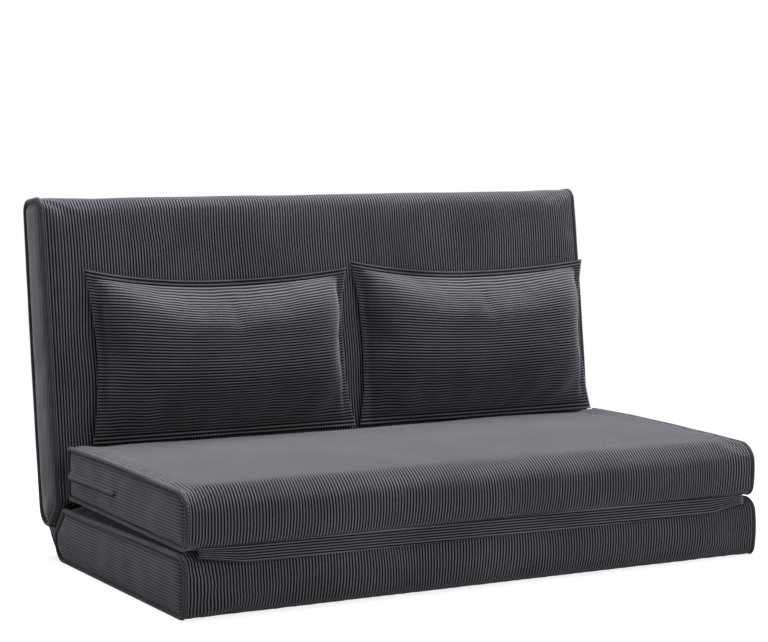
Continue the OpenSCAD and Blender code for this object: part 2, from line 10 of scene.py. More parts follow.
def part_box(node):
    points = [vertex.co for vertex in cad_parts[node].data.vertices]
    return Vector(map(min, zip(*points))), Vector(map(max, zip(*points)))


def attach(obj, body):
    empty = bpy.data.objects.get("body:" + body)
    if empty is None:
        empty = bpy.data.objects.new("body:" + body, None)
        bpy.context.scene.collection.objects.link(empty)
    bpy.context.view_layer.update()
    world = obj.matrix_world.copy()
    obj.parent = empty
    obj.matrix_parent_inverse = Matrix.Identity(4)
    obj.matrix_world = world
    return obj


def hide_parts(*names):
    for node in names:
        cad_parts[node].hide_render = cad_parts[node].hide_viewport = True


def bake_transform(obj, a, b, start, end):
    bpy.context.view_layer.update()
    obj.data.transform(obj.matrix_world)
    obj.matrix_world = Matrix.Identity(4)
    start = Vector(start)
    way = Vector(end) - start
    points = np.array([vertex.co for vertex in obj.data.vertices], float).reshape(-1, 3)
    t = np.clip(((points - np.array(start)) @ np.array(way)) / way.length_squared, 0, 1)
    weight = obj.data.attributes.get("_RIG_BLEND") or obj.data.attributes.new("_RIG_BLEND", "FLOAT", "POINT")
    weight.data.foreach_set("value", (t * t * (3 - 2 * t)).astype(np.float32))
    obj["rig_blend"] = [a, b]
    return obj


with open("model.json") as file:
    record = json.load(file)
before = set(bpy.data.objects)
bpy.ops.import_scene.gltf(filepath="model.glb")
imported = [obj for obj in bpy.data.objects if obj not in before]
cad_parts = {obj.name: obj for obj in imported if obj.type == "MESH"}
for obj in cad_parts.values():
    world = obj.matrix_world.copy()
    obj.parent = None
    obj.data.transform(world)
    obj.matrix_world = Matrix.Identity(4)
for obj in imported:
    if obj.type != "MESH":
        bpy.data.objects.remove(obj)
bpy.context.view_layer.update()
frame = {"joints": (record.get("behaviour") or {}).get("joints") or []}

# Camera: low and from the front left, through a long lens, as the sofa is photographed.
# It is aimed just above the middle of the pillows, so the frame needs no lens shift.
scene = bpy.context.scene
scene.view_settings.view_transform = "Standard"
camera = bpy.data.objects.new("camera", bpy.data.cameras.new("camera"))
scene.collection.objects.link(camera)
scene.camera = camera
camera.data.sensor_width = 36
camera.data.lens = 102.4
camera.location = (-2.030, -3.602, 0.820)
aim = Vector((-0.217, -0.303, 0.487))
camera.rotation_euler = (aim - camera.location).to_track_quat("-Z", "Y").to_euler()


# Studio: a pale floor, a wide soft box overhead, a second one in front and a dim white room.
# The room looks white to the camera and to reflections, and lights the cloth at a plain level.
def linear(hex_colour):
    """An sRGB hex colour as Blender's linear one."""
    shares = [int(hex_colour[i:i + 2], 16) / 255 for i in (1, 3, 5)]
    return tuple(s / 12.92 if s <= 0.04045 else ((s + 0.055) / 1.055) ** 2.4 for s in shares) + (1.0,)


def add_node(tree, kind, sockets=None, **settings):
    """One shader node: its settings by name, its sockets by name with a value, another node's output,
    or a node for that node's first output."""
    node = tree.nodes.new(kind)
    for name, value in settings.items():
        setattr(node, name, value)
    for name, value in (sockets or {}).items():
        if isinstance(value, bpy.types.Node):
            value = value.outputs[0]
        if isinstance(value, bpy.types.NodeSocket):
            tree.links.new(value, node.inputs[name])
        else:
            node.inputs[name].default_value = value
    return node


def clear_tree(owner):
    owner.use_nodes = True
    owner.node_tree.nodes.clear()
    return owner.node_tree


def seen_white(tree):
    """1 where the camera, a reflection or glass looks at the room or the floor, 0 for all other light."""
    path = add_node(tree, "ShaderNodeLightPath")
    seen = path.outputs["Is Camera Ray"]
    for ray in ("Is Glossy Ray", "Is Transmission Ray"):
        seen = add_node(tree, "ShaderNodeMath", {0: seen, 1: path.outputs[ray]}, operation="MAXIMUM")
    return seen


mm = 0.001
room_light = 0.19
scene.world = bpy.data.worlds.new("studio_room")
tree = clear_tree(scene.world)
dim = add_node(tree, "ShaderNodeBackground", {"Color": (1, 1, 1, 1), "Strength": room_light})
white = add_node(tree, "ShaderNodeBackground", {"Color": (1, 1, 1, 1), "Strength": 1.0})
mixed = add_node(tree, "ShaderNodeMixShader", {0: seen_white(tree), 1: dim, 2: white})
add_node(tree, "ShaderNodeOutputWorld", {"Surface": mixed})


def soft_box(name, place, target, width, height, watts):
    """An area lamp that faces its target."""
    lamp = bpy.data.lights.new(name, "AREA")
    lamp.shape, lamp.size, lamp.size_y, lamp.energy = "RECTANGLE", width, height, watts
    box = bpy.data.objects.new(name, lamp)
    scene.collection.objects.link(box)
    box.location = place
    box.rotation_euler = (Vector(target) - Vector(place)).to_track_quat("-Z", "Y").to_euler()


soft_box("overhead_box", place=(0.3, 0.6, 3.2), target=(0, 0.1, 0.2), width=3.0, height=2.0, watts=160)
soft_box("front_box", place=(1.6, -4.2, 2.6), target=(0, 0, 0.35), width=2.2, height=1.6, watts=45)

floor_mesh = bmesh.new()
bmesh.ops.create_grid(floor_mesh, x_segments=1, y_segments=1, size=30)
floor_data = bpy.data.meshes.new("floor")
floor_mesh.to_mesh(floor_data)
floor_mesh.free()
floor = bpy.data.objects.new("floor", floor_data)
scene.collection.objects.link(floor)
floor.location.z = -0.5 * mm


def new_finish(name):
    """A new material, its empty node tree, and the place on the object that its patterns read."""
    material = bpy.data.materials.new(name)
    tree = clear_tree(material)
    return material, tree, add_node(tree, "ShaderNodeTexCoord").outputs["Object"]


# Matt paper, which keeps the sofa's shadow and turns plain white a metre or two away from it.
paper, tree, place = new_finish("studio_paper")
matt = add_node(tree, "ShaderNodeBsdfDiffuse", {"Color": linear("#b8b8b8")})
seen = seen_white(tree)
glow = add_node(tree, "ShaderNodeEmission", {"Color": (1, 1, 1, 1), "Strength": 0.80})
lift = add_node(tree, "ShaderNodeMixShader", {0: seen, 2: glow})
lit = add_node(tree, "ShaderNodeAddShader", {0: matt, 1: lift})
reach = add_node(tree, "ShaderNodeVectorMath", {0: place}, operation="LENGTH").outputs["Value"]
far = add_node(tree, "ShaderNodeMapRange", {"Value": reach, "From Min": 0.9, "From Max": 2.0},
               interpolation_type="SMOOTHSTEP")
far = add_node(tree, "ShaderNodeMath", {0: far, 1: seen}, operation="MULTIPLY")
plain = add_node(tree, "ShaderNodeEmission", {"Color": (1, 1, 1, 1), "Strength": 1.0})
faded = add_node(tree, "ShaderNodeMixShader", {0: far, 1: lit, 2: plain})
add_node(tree, "ShaderNodeOutputMaterial", {"Surface": faded})
floor_data.materials.append(paper)

# Base section: a foam mattress on the floor in a wrap of charcoal corduroy, with its cords up the
# front and over the top, a side panel at each end and cord piping sewn into the seam between them.
section_t = 112 * mm
cover_t = 3 * mm
edge_draw = 4 * mm
piping_r = 4 * mm
piping_sunk = 0.4 * mm
piping_inset = 5.5 * mm
piping_cell = 8 * mm
panel_inset = 9 * mm
panel_steps = np.array([(0.2, 1.2), (2, 1.6), (3, 2.0), (5, 1.6), (8, 1.1), (9, 0.5), (6, 0.0)]) * mm
soft_edge_r = 18 * mm
base_top_r = 26 * mm
front_bulge = 12 * mm
swell_reach = 40 * mm
seam_swell = 0.55
cloth_cell = 16 * mm
panel_proud = 8 * mm
rib = 5.8 * mm
rib_height = 1.7 * mm
bias_pitch = 4 * mm
seam_reach = 60 * mm
wrap_pressure = 4.0
wrap_puff = 5 * mm
slow_ripple = (1.6 * mm, 160 * mm)      # the height and the length of a ripple, as in the next four
seam_pucker = (1.4 * mm, 28 * mm)
cord_sway = (7 * mm, 130 * mm)
panel_slack = (1.8 * mm, 55 * mm)
sewing_sway = (0.8 * mm, 60 * mm)
base_sag = 6 * mm
base_low, base_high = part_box("base_cover")
base_half = base_high.x
joints = {j["name"]: j for j in frame["joints"]}
pivot = Vector(joints["back_recline"]["pos_m"])
fold = Vector(joints["seat_fold"]["pos_m"])
lean = math.radians(90 - joints["back_recline"]["range_deg"][1])
front_y = base_low.y
seam_y = front_y + front_bulge
mitre_gap = 4 * mm
crease_turn = math.radians(45) + lean / 2
crease_run = section_t / 2 / math.tan(crease_turn)
mitre_way = Vector((0, -math.cos(crease_turn), math.sin(crease_turn)))
mitre_side = Vector((0, math.sin(crease_turn), math.cos(crease_turn)))
knee_r = 105 * mm
half_back = section_t / 2 - 6 * mm
knee_s = (knee_r - section_t / 2 - (knee_r - half_back) * math.sin(lean)) / math.cos(lean)
knee_y = pivot.y + knee_s * math.sin(lean) - (knee_r - half_back) * math.cos(lean)


def smooth_step(t):
    t = np.clip(t, 0, 1)
    return t * t * (3 - 2 * t)


def new_piece(name, mesh, material):
    """A finished bmesh as an object at the origin, smooth shaded, with its material."""
    data = bpy.data.meshes.new(name)
    mesh.to_mesh(data)
    mesh.free()
    data.shade_smooth()
    data.materials.append(material)
    piece = bpy.data.objects.new(name, data)
    scene.collection.objects.link(piece)
    return piece


def points_of(piece):
    places = np.zeros(len(piece.data.vertices) * 3)
    piece.data.vertices.foreach_get("co", places)
    return places.reshape(-1, 3)


def put_points(piece, places):
    piece.data.vertices.foreach_set("co", np.ascontiguousarray(places).ravel())
    piece.data.update()


def evaluated_mesh(piece):
    return bpy.data.meshes.new_from_object(piece.evaluated_get(bpy.context.evaluated_depsgraph_get()))


def thicken(piece, thickness, offset):
    """Gives a finished cloth its thickness for good, so that it can bend with its joint."""
    solid = piece.modifiers.new("thickness", "SOLIDIFY")
    solid.thickness, solid.offset = thickness, offset
    piece.data = evaluated_mesh(piece)
    piece.modifiers.clear()


def middle_of(corners):
    return Vector((0, sum(c[0] for c in corners), sum(c[1] for c in corners))) / len(corners)


def sewn_ring(corners, inset=0.0, cell=cloth_cell):
    """A ring of edges in the plane x = 0, each corner (y, z, radius) rounded, then drawn in by inset."""
    ring = bmesh.new()
    verts = [ring.verts.new((0, y, z)) for y, z, _ in corners]
    ring.faces.new(verts)
    for vert, (_, _, radius) in zip(verts, corners):
        arms = [edge.other_vert(vert).co - vert.co for edge in vert.link_edges]
        bmesh.ops.bevel(ring, geom=[vert], offset=radius / math.tan(arms[0].angle(arms[1]) / 2),
                        segments=8, profile=0.5, affect="VERTICES", material=-1)
    bmesh.ops.delete(ring, geom=ring.faces[:], context="FACES_ONLY")
    for edge in ring.edges[:]:
        cuts = int(edge.calc_length() / cell)
        if cuts:
            bmesh.ops.subdivide_edges(ring, edges=[edge], cuts=cuts)
    middle = middle_of(corners)
    moves = {}
    for vert in ring.verts:
        normal = Vector()
        for edge in vert.link_edges:
            along = edge.other_vert(vert).co - vert.co
            side = Vector((0, -along.z, along.y)).normalized()
            normal += side if side.dot(vert.co - middle) > 0 else -side
        moves[vert] = normal.normalized() * -inset
    for vert, move in moves.items():
        vert.co += move
    return ring


def in_order(ring):
    """The vertices of a ring in their order round it."""
    line, used = [next(iter(ring.verts))], set()
    while True:
        edge = next(e for e in line[-1].link_edges if e not in used)
        used.add(edge)
        following = edge.other_vert(line[-1])
        if following is line[0]:
            return line
        line.append(following)


def swell(places, axis, side, across, amount):
    """Pushes one broad face of a section out along axis, most half way across it and not at its edges."""
    low, high = places.min(0), places.max(0)
    depth = high[axis] - places[:, axis] if side > 0 else places[:, axis] - low[axis]
    share = 2 * (places[:, across] - low[across]) / (high[across] - low[across]) - 1
    places[:, axis] += side * amount * (1 - smooth_step(depth / swell_reach)) * (1 - share ** 2)


def ease_of_ends(places, half):
    """How much of a section's swell is left at each point: all of it but near the side seams."""
    return 1 - (1 - seam_swell) * np.minimum(np.abs(places[:, 0]) / half, 1) ** 8


def sewn_shape(places, half, faces, settle):
    """Swells a section's faces, (axis, side, across, amount) each, and lets its seams settle."""
    swollen = places.copy()
    for axis, side, across, amount in faces:
        swell(swollen, axis, side, across, amount)
    places += (swollen - places) * ease_of_ends(places, half)[:, None]
    if settle:
        settle(places)
    return places


def cloth_ripple(places, height, size, seed):
    """Slow ripples of a loosely filled cover, the same on each run."""
    shift = Vector((seed, 2 * seed, 3 * seed))
    return np.array([height * noise.noise(Vector(p) / size + shift) for p in places])


def puff(piece, pinned, pressure, cap, shrink=0.01):
    """Fills a cover with air as cloth held along its seams, and keeps at most cap of the movement."""
    group = piece.vertex_groups.new(name="seams")
    group.add([int(i) for i in np.nonzero(pinned)[0]], 1.0, "REPLACE")
    rest = points_of(piece)
    cloth = piece.modifiers.new("cloth", "CLOTH")
    values = cloth.settings
    values.quality, values.mass, values.bending_stiffness = 5, 0.25, 0.4
    values.tension_stiffness = values.compression_stiffness = values.shear_stiffness = 12
    values.vertex_group_mass = group.name
    values.shrink_min = -shrink
    values.use_pressure = True
    values.uniform_pressure_force = pressure
    values.effector_weights.gravity = 0
    cloth.point_cache.frame_start, cloth.point_cache.frame_end = 1, 20
    for step in range(1, 21):
        scene.frame_set(step)
    filled = piece.evaluated_get(bpy.context.evaluated_depsgraph_get())
    places = np.zeros(len(rest) * 3)
    filled.data.vertices.foreach_get("co", places)
    move = places.reshape(-1, 3) - rest
    length = np.linalg.norm(move, axis=1, keepdims=True)
    piece.modifiers.remove(cloth)
    put_points(piece, rest + move * np.minimum(1, cap / np.maximum(length, 1e-9)))
    piece.vertex_groups.clear()
    scene.frame_set(1)


def band_scale(pitch):
    """A Wave texture's scale for bands this far apart, which lie across X unless it says otherwise."""
    return math.pi / 10 / pitch


def surface(tree, colour, height, depth, sockets, strength=1.0):
    """Ends a finish: its colour, a relief of this depth, and the values of the shader's other sockets."""
    bump = add_node(tree, "ShaderNodeBump", {"Height": height, "Distance": depth, "Strength": strength})
    shader = add_node(tree, "ShaderNodeBsdfPrincipled", {"Base Color": colour, "Normal": bump} | sockets)
    add_node(tree, "ShaderNodeOutputMaterial", {"Surface": shader})


def corduroy(name, ribs_by, relief=0.0, crest="#7b7780", painted_groove_shade="#0b0a0c"):
    """Brushed cotton corduroy, cords with a cut pile: crests lighter, partly painted sheen; grooves near
    black, painted shade.
    The pile scatters light at grazing angles, so broad tops look pale and faces toward the eye dark.
    ribs_by is a turn of the cords in the object's frame, or None where they follow the cloth itself."""
    material, tree, place = new_finish(name)
    if ribs_by is None:
        ribs_at = add_node(tree, "ShaderNodeAttribute", attribute_name="cloth_place").outputs["Vector"]
    else:
        ribs_at = add_node(tree, "ShaderNodeMapping", {"Vector": place, "Rotation": ribs_by})
    ribs = add_node(tree, "ShaderNodeTexWave", {"Vector": ribs_at, "Scale": band_scale(rib)}).outputs["Fac"]
    pile = add_node(tree, "ShaderNodeTexNoise", {"Vector": place, "Scale": 1 / (1.8 * mm)})
    brushed = add_node(tree, "ShaderNodeTexNoise", {"Vector": place, "Scale": 1 / (90 * mm), "Detail": 3.0})
    # The ramp paints shade into the grooves between the cords, and partly painted sheen onto their crests.
    groove_shade_ramp = add_node(tree, "ShaderNodeValToRGB", {"Fac": ribs})
    for stop, colour, position in zip(groove_shade_ramp.color_ramp.elements, (painted_groove_shade, crest), (0.34, 0.92)):
        stop.color, stop.position = linear(colour), position
    worn, flecks = (add_node(tree, "ShaderNodeMapRange", {"Value": patches, "From Min": 0.3,
                                                          "From Max": 0.7, "To Min": dark, "To Max": pale})
                    for patches, dark, pale in ((brushed, 0.86, 1.12), (pile, 0.82, 1.18)))
    tone = add_node(tree, "ShaderNodeMath", {0: worn, 1: flecks}, operation="MULTIPLY")
    colour = add_node(tree, "ShaderNodeVectorMath", {0: groove_shade_ramp, "Scale": tone}, operation="SCALE")
    cords = add_node(tree, "ShaderNodeMath", {0: ribs, 1: relief}, operation="MULTIPLY")
    height = add_node(tree, "ShaderNodeMath", {0: pile, 1: 0.25, 2: cords}, operation="MULTIPLY_ADD")
    surface(tree, colour, height, 1.1 * mm,
            {"Roughness": 0.92, "Specular IOR Level": 0.08, "Sheen Weight": 1.0, "Sheen Roughness": 0.42,
             "Sheen Tint": linear("#d5d1dc")})
    return material


wrap_corduroy = corduroy("wrap_corduroy", None)
# Its dark groove colour is painted shade between the cords.
panel_corduroy = corduroy("side_panel_corduroy", (0, math.pi / 2, 0), relief=0.8, crest="#65626a",
                          painted_groove_shade="#201f22")

# Piping cloth: a strip of the same corduroy cut on the bias and wrapped tight round a cord. Its cords run
# round it at a slant, and look closer and flatter than on the covers.
bias_cord, tree, place = new_finish("bias_cut_piping")
turned = add_node(tree, "ShaderNodeMapping", {"Vector": place, "Rotation": (0.6, 0.5, 0.8)})
cords = add_node(tree, "ShaderNodeTexWave", {"Vector": turned, "Scale": band_scale(bias_pitch),
                                             "Distortion": 1.0}).outputs["Fac"]
fluff = add_node(tree, "ShaderNodeTexNoise", {"Vector": place, "Scale": 1 / (1.2 * mm)})
# The ramp paints shade into the grooves between its cords, and partly painted sheen onto their crests.
shade = add_node(tree, "ShaderNodeValToRGB", {"Fac": cords})
for stop, colour in zip(shade.color_ramp.elements, ("#201f22", "#605d64")):
    stop.color = linear(colour)
height = add_node(tree, "ShaderNodeMath", {0: fluff, 1: 0.5, 2: cords}, operation="MULTIPLY_ADD")
surface(tree, shade, height, 0.5 * mm,
        {"Roughness": 0.9, "Specular IOR Level": 0.08, "Sheen Weight": 0.8, "Sheen Roughness": 0.45,
         "Sheen Tint": linear("#d5d1dc")}, strength=0.6)

turn_back = Matrix.Translation(pivot) @ Matrix.Rotation(-lean, 4, "X")


def drawn_out(line, half):
    """A line of edges drawn out across the sofa into cloth, with two cords to each of its cells."""
    columns = round(half / rib)
    bmesh.ops.translate(line, vec=(-half, 0, 0), verts=line.verts[:])
    bmesh.ops.spin(line, geom=line.edges[:], cent=(0, 0, 0), axis=(1, 0, 0), angle=0,
                   dvec=(2 * half / columns, 0, 0), steps=columns)
    flat = line.verts.layers.float_vector.new("cloth_place")
    for vert in line.verts:
        vert[flat] = ((vert.co.x + half) * columns * rib / half, vert.co.y, vert.co.z)
    bmesh.ops.recalc_face_normals(line, faces=line.faces[:])


def face_outwards(mesh, middle):
    """Turns an open shell's faces away from its middle."""
    outward = sum(f.normal.dot(f.calc_center_median() - middle) * f.calc_area() for f in mesh.faces)
    if outward < 0:
        bmesh.ops.reverse_faces(mesh, faces=mesh.faces[:])
    mesh.normal_update()


def ribbed(piece, thickness):
    """Gives a cloth its thickness inwards, then cuts the cords' grooves, two cords to each of its cells."""
    outer = len(piece.data.vertices)
    if thickness:
        thicken(piece, thickness, -1)
    mesh = bmesh.new()
    mesh.from_mesh(piece.data)
    flat = mesh.verts.layers.float_vector["cloth_place"]
    lining = mesh.verts.layers.float.new("lining")
    for index, vert in enumerate(mesh.verts):
        vert[lining] = index >= outer
    across = [e for e in mesh.edges if not e.verts[0][lining] and not e.verts[1][lining]
              and abs(e.verts[0][flat].x - e.verts[1][flat].x) > rib]
    bmesh.ops.subdivide_edges(mesh, edges=across, cuts=5)
    mesh.normal_update()
    moves = [(v, v.normal * rib_height * (0.5 + 0.5 * math.cos(2 * math.pi * v[flat].x / rib)))
             for v in mesh.verts if not v[lining]]
    for vert, move in moves:
        vert.co -= move
    mesh.verts.layers.float.remove(lining)
    mesh.to_mesh(piece.data)
    mesh.free()
    piece.data.shade_smooth()


def cut_out(line, gone):
    """Takes edges out of a line or a ring, with the points that they leave bare."""
    bmesh.ops.delete(line, geom=gone, context="EDGES")
    bmesh.ops.delete(line, geom=[v for v in line.verts if not v.link_edges], context="VERTS")


def stand_on_floor(piece):
    """Flattens what would hang below the floor that the base stands on."""
    places = points_of(piece)
    places[:, 2] = np.maximum(places[:, 2], 0)
    put_points(piece, places)


def sewn_wrap(name, corners, half, faces, trapped, left_out, settle, seed, turn):
    """The wrap cover of a section: its ring, without the stretch left_out, run from end seam to end seam.
    Where it is trapped in the crease and the knee it lies still and can't swell."""
    wrap = sewn_ring(corners)
    cut_out(wrap, [e for e in wrap.edges if left_out((e.verts[0].co + e.verts[1].co) / 2)])
    drawn_out(wrap, half)
    face_outwards(wrap, middle_of(corners))
    normals = np.array([v.normal for v in wrap.verts])
    still = np.array([trapped(v.co) for v in wrap.verts])
    held = still | np.array([any(e.is_boundary for e in v.link_edges) for v in wrap.verts])
    piece = new_piece(name, wrap, wrap_corduroy)
    places = points_of(piece)
    end_share = np.abs(places[:, 0]) / half
    places -= normals * (edge_draw * end_share ** 8)[:, None]
    sewn_shape(places, half, faces, settle)
    seam_away = (half - np.abs(places[:, 0])) / seam_reach
    slow = cloth_ripple(places, *slow_ripple, seed) * smooth_step(seam_away)
    pucker = cloth_ripple(places, *seam_pucker, seed + 3) * smooth_step(1 - seam_away)
    places += normals * ((slow + pucker * smooth_step(6 * seam_away)) * ~still)[:, None]
    places[:, 0] += cloth_ripple(places, *cord_sway, seed + 9) * smooth_step(seam_away)
    put_points(piece, places)
    puff(piece, held, wrap_pressure, wrap_puff)
    piece.data.transform(turn)
    ribbed(piece, cover_t)
    stand_on_floor(piece)
    return piece


def side_panel(name, corners, half, side, faces, material, settle, seed, turn):
    """A side panel: flat where it is sewn in, padded and domed in its middle, with a few slack ripples."""
    panel = sewn_ring(corners, inset=panel_inset)
    top = bmesh.ops.contextual_create(panel, geom=panel.edges[:])["faces"][0]
    low = Vector([min(v.co[i] for v in panel.verts) for i in range(3)])
    high = Vector([max(v.co[i] for v in panel.verts) for i in range(3)])
    centre, size = (low + high) / 2, high - low
    inset = 0.0
    for step, lift in panel_steps:
        grown = bmesh.ops.extrude_face_region(panel, geom=[top])["geom"]
        top = next(g for g in grown if isinstance(g, bmesh.types.BMFace))
        verts = [g for g in grown if isinstance(g, bmesh.types.BMVert)]
        before = [1 - 2 * inset / size[i] for i in (1, 2)]
        inset += step
        after = [1 - 2 * inset / size[i] for i in (1, 2)]
        bmesh.ops.scale(panel, vec=(1, after[0] / before[0], after[1] / before[1]), verts=verts,
                        space=Matrix.Translation(-centre))
        bmesh.ops.translate(panel, vec=(lift, 0, 0), verts=verts)
    bmesh.ops.delete(panel, geom=[f for f in panel.faces if len(f.verts) > 4 and f is not top],
                     context="FACES_ONLY")
    bmesh.ops.triangulate(panel, faces=[top], quad_method="BEAUTY", ngon_method="BEAUTY")
    bmesh.ops.translate(panel, vec=(half, 0, 0), verts=panel.verts[:])
    if side < 0:
        bmesh.ops.scale(panel, vec=(-1, 1, 1), verts=panel.verts[:])
    bmesh.ops.recalc_face_normals(panel, faces=panel.faces[:])
    face_outwards(panel, Vector((0, centre.y, centre.z)))
    piece = new_piece(name, panel, material)
    places = sewn_shape(points_of(piece), half, faces, settle)
    proud = np.clip((np.abs(places[:, 0]) - half) / panel_proud, 0, 1)
    places[:, 0] += side * cloth_ripple(places, *panel_slack, seed) * proud
    put_points(piece, places)
    piece.data.transform(turn)
    solid = piece.modifiers.new("thickness", "SOLIDIFY")
    solid.thickness, solid.offset = cover_t, -1
    fine = piece.modifiers.new("smooth", "SUBSURF")
    fine.levels = fine.render_levels = 1
    return piece


def piping(name, corners, half, side, faces, settle, seed, turn):
    """Piping: a bias strip round a cord, sewn in a loop round the side panel, a little uneven by hand."""
    loop = sewn_ring(corners, inset=piping_inset, cell=piping_cell)
    bmesh.ops.translate(loop, vec=(side * (half + piping_r - piping_sunk), 0, 0), verts=loop.verts[:])
    places = np.array([v.co for v in in_order(loop)])
    loop.free()
    sewn_shape(places, half, faces, settle)
    places[:, 1] += cloth_ripple(places, *sewing_sway, seed)
    places[:, 2] += cloth_ripple(places, *sewing_sway, seed + 5)
    line = bpy.data.curves.new(name, "CURVE")
    line.dimensions = "3D"
    line.bevel_depth, line.bevel_resolution = piping_r, 3
    spline = line.splines.new("POLY")
    spline.points.add(len(places) - 1)
    for point, place in zip(spline.points, places):
        point.co = (*place, 1)
    spline.use_cyclic_u = True
    curve = bpy.data.objects.new(name + "_line", line)
    scene.collection.objects.link(curve)
    tube = bmesh.new()
    tube.from_mesh(evaluated_mesh(curve))
    bpy.data.objects.remove(curve)
    piece = new_piece(name, tube, bias_cord)
    piece.data.transform(turn)
    stand_on_floor(piece)
    return piece


def nowhere(place):
    """For a wrap that is trapped nowhere, or that goes all the way round."""
    return False


hands = ((-1, "left"), (1, "right"))


def sewn_section(body, corners, half, faces, panel_cloth, seeds, trapped=nowhere, left_out=nowhere,
                 settle=None, turn=Matrix()):
    """A section as it is sewn: its wrap cover, then a side panel and its piping at each end."""
    wrap_seed, panel_seed, cord_seed = seeds
    wrap = sewn_wrap(f"{body}_wrap", corners, half, faces, trapped, left_out, settle, wrap_seed, turn)
    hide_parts(f"{body}_cover")
    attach(wrap, body)
    for side, hand in hands:
        panel = side_panel(f"{body}_panel_{hand}", corners, half, side, faces, panel_cloth, settle,
                           panel_seed + side, turn)
        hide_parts(f"{body}_side_{hand}")
        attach(panel, body)
        cord = piping(f"{body}_cord_{hand}", corners, half, side, faces, settle, cord_seed + side, turn)
        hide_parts(f"{body}_piping_{hand}")
        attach(cord, body)


def rear_seams(places, half, rear_y):
    """How near each point is to the rear ends of a section's side seams, from 0 to 1."""
    back = smooth_step((places[:, 1] - front_y) / (rear_y - front_y))
    return back * smooth_step((np.abs(places[:, 0]) / half - 0.9) * 10)


def base_settle(places):
    """The base's upper side seams hang lower towards the back, where the seat no longer presses on them."""
    upper = np.clip(places[:, 2] / section_t, 0, 1)
    places[:, 2] -= base_sag * rear_seams(places, base_half, pivot.y) * upper


base_corners = [
    (pivot.y - crease_run - mitre_gap, section_t, soft_edge_r),
    (seam_y, section_t, base_top_r),
    (seam_y, -edge_draw, soft_edge_r),
    (pivot.y - mitre_gap, -edge_draw, pivot.y - mitre_gap - knee_y),
    (pivot.y - mitre_gap, pivot.z, soft_edge_r),
]
base_faces = [(1, -1, 2, front_bulge)]


def behind_base(place):
    """The part of the base's outline in the crease and the knee."""
    return place.y > pivot.y - crease_run - mitre_gap


def under_base(place):
    """The part of the base's outline that the underside panel covers, not the wrap."""
    return place.z < 0 and seam_y + soft_edge_r < place.y < knee_y


sewn_section("base", base_corners, base_half, base_faces, panel_corduroy, seeds=(1, 2, 3),
             trapped=behind_base, left_out=under_base, settle=base_settle)

# Underside panel: black non-woven cloth with rows of rubbery dots, sewn across the bottom so that the
# sofa doesn't slide. It is flat, because the whole sofa stands on it.
dot_pitch = 9 * mm
under_t = 1.5 * mm
under_low, under_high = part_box("underside_panel")
under_w, under_d = under_high.x - under_low.x, under_high.y - under_low.y

# Dull felted fibres with smooth dots on them, which stand out a little and shine.
dotted, tree, place = new_finish("dotted_non_slip_cloth")
rows = [add_node(tree, "ShaderNodeTexWave", {"Vector": place, "Scale": band_scale(dot_pitch)},
                 bands_direction=way).outputs["Fac"] for way in "XY"]
dots = add_node(tree, "ShaderNodeMath", {0: rows[0], 1: rows[1]}, operation="MULTIPLY")
dots = add_node(tree, "ShaderNodeMapRange", {"Value": dots, "From Min": 0.62, "From Max": 0.72},
                interpolation_type="SMOOTHSTEP")
fibres = add_node(tree, "ShaderNodeTexNoise", {"Vector": place, "Scale": 1 / (2 * mm), "Detail": 4.0})
shade = add_node(tree, "ShaderNodeMix", {"Factor": dots, 6: linear("#232225"), 7: linear("#101011")},
                 data_type="RGBA")
rough = add_node(tree, "ShaderNodeMapRange", {"Value": dots, "To Min": 0.95, "To Max": 0.45})
height = add_node(tree, "ShaderNodeMath", {0: fibres, 1: 0.2, 2: dots}, operation="MULTIPLY_ADD")
surface(tree, shade.outputs[2], height, 0.8 * mm, {"Roughness": rough})
sole = bmesh.new()
bmesh.ops.create_grid(sole, x_segments=40, y_segments=20, size=0.5)
bmesh.ops.scale(sole, vec=(under_w, under_d, 1), verts=sole.verts[:])
bmesh.ops.translate(sole, vec=(0, (under_low.y + under_high.y) / 2, 0), verts=sole.verts[:])
under_cloth = new_piece("underside_cloth", sole, dotted)
thicken(under_cloth, under_t, 1)
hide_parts("underside_panel")
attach(under_cloth, "base")

# Seat section: the same sewn block, hinged along its lower front edge so that it folds out to a bed.
# Its top crowns over the foam and its front edge is rounder, pressed soft by use.
seat_low, seat_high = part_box("seat_cover")
seat_half = seat_high.x
seat_crown = 6 * mm
seat_rise = 8 * mm
seat_rear_r = 15 * mm
seat_front_r = 34 * mm
seat_corners = [
    (seam_y, seat_low.z, soft_edge_r),
    (seat_high.y, seat_low.z, seat_rear_r),
    (seat_high.y, seat_high.z - seat_crown, seat_rear_r),
    (seam_y, seat_high.z - seat_crown, seat_front_r),
]
seat_faces = [(1, -1, 2, front_bulge), (2, 1, 1, seat_crown)]


def seat_settle(places):
    """The seat's side seams rise a little towards the back."""
    places[:, 2] += seat_rise * rear_seams(places, seat_half, seat_high.y)


sewn_section("seat", seat_corners, seat_half, seat_faces, panel_corduroy, seeds=(7, 8, 11),
             settle=seat_settle)

# Hinge band: a strip of the corduroy with its cords along it, sewn to the base's front below the edge
# and to the seat's lower front edge, so that the seat turns over on it when it folds out.
band_low = section_t - 21 * mm
band_high = section_t - 12 * mm
band_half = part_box("front_hinge_strip")[1].x
band_t = 1.6 * mm
band_taper = 90 * mm
band_end_w = 0.6
band_cord_step = 1.25
band_cord_slope = 0.012
band_cell = 3 * mm
band_bend = 3 * mm
band_corduroy = corduroy("hinge_band_corduroy", None, relief=1.0)


def line_through(points):
    """A line of edges through these points, in their order."""
    line = bmesh.new()
    verts = [line.verts.new(point) for point in points]
    for a, b in zip(verts, verts[1:]):
        line.edges.new((a, b))
    return line


